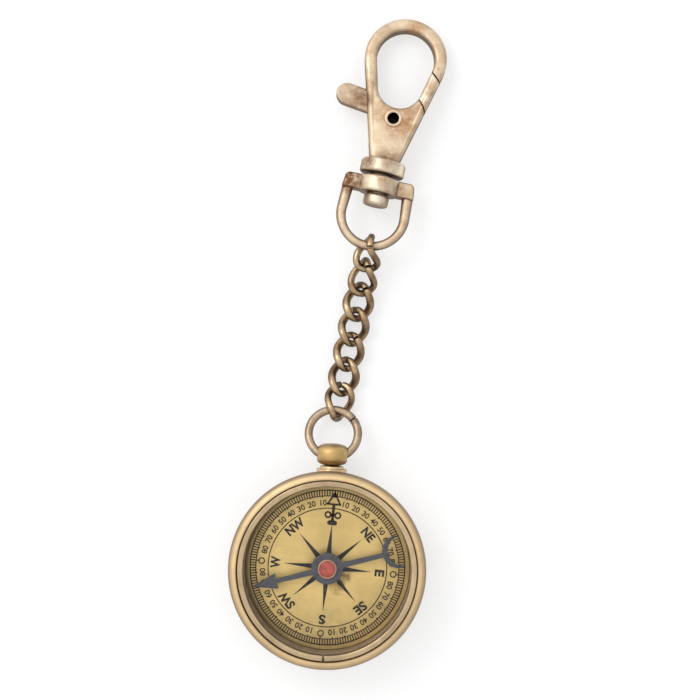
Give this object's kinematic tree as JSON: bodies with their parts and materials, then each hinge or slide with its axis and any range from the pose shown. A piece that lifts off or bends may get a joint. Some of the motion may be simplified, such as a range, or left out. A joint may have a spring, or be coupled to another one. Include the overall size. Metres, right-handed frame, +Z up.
{
  "type": "compass keychain",
  "caption": "Round brass pocket compass with dial and needle under glass, a swinging bow ring, a twisted curb chain, and a swivel clasp with a spring gate for hanging it from a belt loop.",
  "frame": {"origin": "middle of the flat back of the compass case, on which it lies", "axes": "+Z up out of the dial, +Y from the case axis through the pendant ball towards the chain and clasp"},
  "size_m": [0.038, 0.1266, 0.0112],
  "materials": {
    "antique_brass": "satin, antiqued",
    "satin_brass": "satin",
    "dial_brass": "fine brushed, printed in dark brown",
    "dark_bronze": "dark antiqued",
    "pale_gold": "pale gold plating with brown patina in the recesses",
    "blued_steel": "blued satin",
    "spring_steel": "bright wire",
    "coral_red": "soft gloss",
    "clear_glass": "polished"
  },
  "bodies": {
    "case": {"case_body": "antique_brass", "dial_plate": "dial_brass", "pivot_post": "antique_brass", "crystal": "clear_glass", "crystal_retaining_ring": "antique_brass", "pendant_collar": "antique_brass", "pendant_ball": "satin_brass"},
    "needle": {"needle_blade": "blued_steel", "needle_cap": "antique_brass", "cap_jewel": "coral_red"},
    "bow": {"bow_ring": "antique_brass"},
    "link_7": {"chain_link_7": "dark_bronze"},
    "link_6": {"chain_link_6": "dark_bronze"},
    "link_5": {"chain_link_5": "dark_bronze"},
    "link_4": {"chain_link_4": "dark_bronze"},
    "link_3": {"chain_link_3": "dark_bronze"},
    "link_2": {"chain_link_2": "dark_bronze"},
    "link_1": {"chain_link_1": "dark_bronze"},
    "eye": {"swivel_eye": "pale_gold"},
    "hook": {"hook_body": "pale_gold", "gate_rivet": "pale_gold", "gate_spring": "spring_steel"},
    "gate": {"gate_lever": "pale_gold"}
  },
  "joints": [
    {"name": "needle_turn", "type": "hinge", "parent": "case", "child": "needle", "pos_m": [0, 0, 0], "axis": [0, 0, 1], "continuous": true},
    {"name": "bow_swing", "type": "hinge", "parent": "case", "child": "bow", "pos_m": [0, 0.02195, 0.0052], "axis": [1, 0, 0], "range_deg": [-65, 110]},
    {"name": "link_7_swing", "type": "hinge", "parent": "bow", "child": "link_7", "pos_m": [0.00059, 0.03048, 0.00246], "axis": [-0.9888, 0.1495, 0], "range_deg": [-35, 60]},
    {"name": "link_6_swing", "type": "hinge", "parent": "link_7", "child": "link_6", "pos_m": [0.00108, 0.03378, 0.00198], "axis": [0.6868, -0.1039, -0.7193], "range_deg": [-30, 30]},
    {"name": "link_5_swing", "type": "hinge", "parent": "link_6", "child": "link_5", "pos_m": [0.00209, 0.0404, 0.00198], "axis": [0.6868, -0.1039, 0.7193], "range_deg": [-35, 35]},
    {"name": "link_4_swing", "type": "hinge", "parent": "link_5", "child": "link_4", "pos_m": [0.00258, 0.04367, 0.00198], "axis": [-0.6868, 0.1039, 0.7193], "range_deg": [-35, 35]},
    {"name": "link_3_swing", "type": "hinge", "parent": "link_4", "child": "link_3", "pos_m": [0.00358, 0.05029, 0.00198], "axis": [-0.6868, 0.1039, -0.7193], "range_deg": [-35, 35]},
    {"name": "link_2_swing", "type": "hinge", "parent": "link_3", "child": "link_2", "pos_m": [0.00408, 0.05359, 0.00197], "axis": [0.9594, -0.0513, -0.2773], "range_deg": [-30, 22]},
    {"name": "link_1_swing", "type": "hinge", "parent": "link_2", "child": "link_1", "pos_m": [0.00503, 0.05987, 0.0041], "axis": [0.2101, -0.3417, 0.916], "range_deg": [-30, 30]},
    {"name": "eye_swing", "type": "hinge", "parent": "link_1", "child": "eye", "pos_m": [0.00545, 0.06268, 0.00582], "axis": [0.9863, -0.165, 0], "range_deg": [-80, 80]},
    {"name": "hook_swivel", "type": "hinge", "parent": "eye", "child": "hook", "pos_m": [0.00734, 0.07791, 0.00441], "axis": [0.1644, 0.9821, -0.0917], "continuous": true},
    {"name": "gate_open", "type": "hinge", "parent": "hook", "child": "gate", "pos_m": [0.00892, 0.08733, 0.00353], "axis": [0.0151, 0.0904, 0.9958], "range_deg": [0, 32], "stiffness_Nm_per_rad": 0.01, "springref_deg": -2.86, "deforming": ["gate_spring"]}
  ]
}
